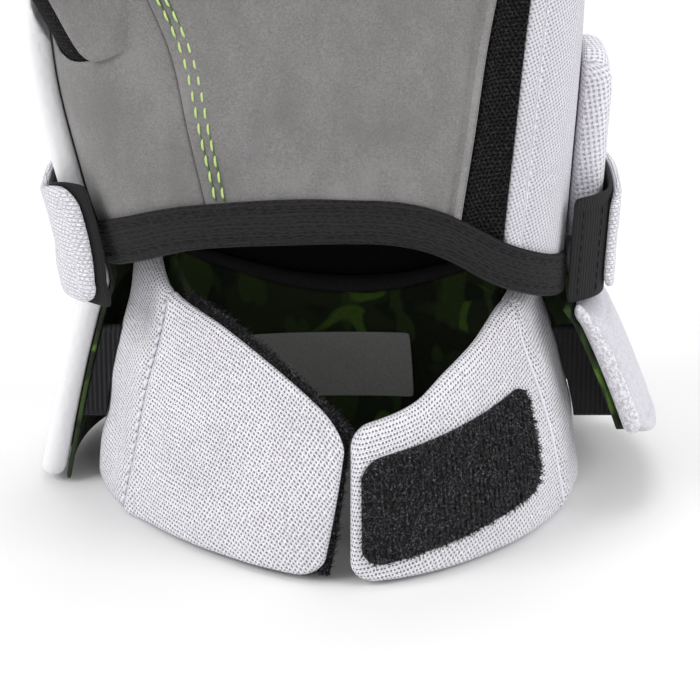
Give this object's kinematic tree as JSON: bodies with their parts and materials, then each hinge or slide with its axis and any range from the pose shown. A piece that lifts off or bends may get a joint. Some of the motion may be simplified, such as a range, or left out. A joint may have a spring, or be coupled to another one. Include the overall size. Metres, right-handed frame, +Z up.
{
  "type": "lacrosse glove",
  "caption": "Padded left-hand lacrosse glove with a suede palm, finger and thumb stalls, a wrap-round wrist cuff that closes at the front and an outer flared cuff.",
  "frame": {"origin": "centre of the bounding box on the floor, under the wrist cuff", "axes": "+Z up from the cuff to the fingertips, -Y out of the palm, -X towards the thumb"},
  "size_m": [0.1844, 0.118, 0.3065],
  "materials": {
    "suede": "grey suede with a short nap",
    "tape": "black woven binding tape",
    "black_mesh": "black open mesh",
    "side_mesh": "white woven mesh",
    "coarse_mesh": "white coarse mesh over foam",
    "hand_cloth": "black knit lining",
    "pad_leather": "white synthetic leather over foam",
    "plate_leather": "white synthetic leather over foam",
    "band_knit": "pale knit over foam",
    "webbing": "black webbing",
    "cuff_knit": "pale knit mesh over foam, with rows of small holes",
    "printed_lining": "dark printed lining cloth",
    "loop": "black loop cloth",
    "hook": "black fastener cloth",
    "label": "bare pale label",
    "elastic": "black ribbed elastic"
  },
  "bodies": {
    "root": {"palm_panel": "suede", "thumb_panel": "suede", "palm_binding": "tape", "side_gusset": "black_mesh", "index_stall": "black_mesh", "middle_stall": "black_mesh", "ring_stall": "black_mesh", "little_stall": "black_mesh", "thumb_stall": "black_mesh", "side_panel": "side_mesh", "back_panel": "side_mesh", "side_pad": "coarse_mesh", "hand_lining": "hand_cloth", "lower_pad_thumb_side": "pad_leather", "lower_pad_middle": "pad_leather", "lower_pad_little_side": "pad_leather", "upper_pad_thumb_side": "pad_leather", "upper_pad_middle": "pad_leather", "upper_pad_little_side": "pad_leather", "index_knuckle_pad": "pad_leather", "middle_knuckle_pad": "pad_leather", "ring_knuckle_pad": "pad_leather", "little_knuckle_pad": "pad_leather", "thumb_side_plate": "pad_leather", "index_pad_root": "pad_leather", "index_pad_middle": "pad_leather", "index_pad_tip": "pad_leather", "middle_pad_root": "pad_leather", "middle_pad_middle": "pad_leather", "middle_pad_tip": "pad_leather", "ring_pad_root": "pad_leather", "ring_pad_middle": "pad_leather", "ring_pad_tip": "pad_leather", "little_pad_root": "pad_leather", "little_pad_middle": "pad_leather", "little_pad_tip": "pad_leather", "thumb_pad_root": "pad_leather", "thumb_pad_middle": "pad_leather", "thumb_pad_tip": "pad_leather", "cuff_plate_thumb_side": "plate_leather", "cuff_plate_back_thumb_side": "plate_leather", "cuff_plate_back_little_side": "plate_leather", "cuff_plate_little_side": "plate_leather", "wrist_band": "band_knit", "band_lining": "webbing", "wrist_cuff": "cuff_knit", "flap_left": "cuff_knit", "flap_right": "cuff_knit", "cuff_lining": "printed_lining", "outer_cuff_lining": "printed_lining", "flap_left_loop": "loop", "hook_patch": "hook", "label": "label", "elastic_thumb_side": "elastic", "elastic_little_side": "elastic"}
  },
  "joints": []
}
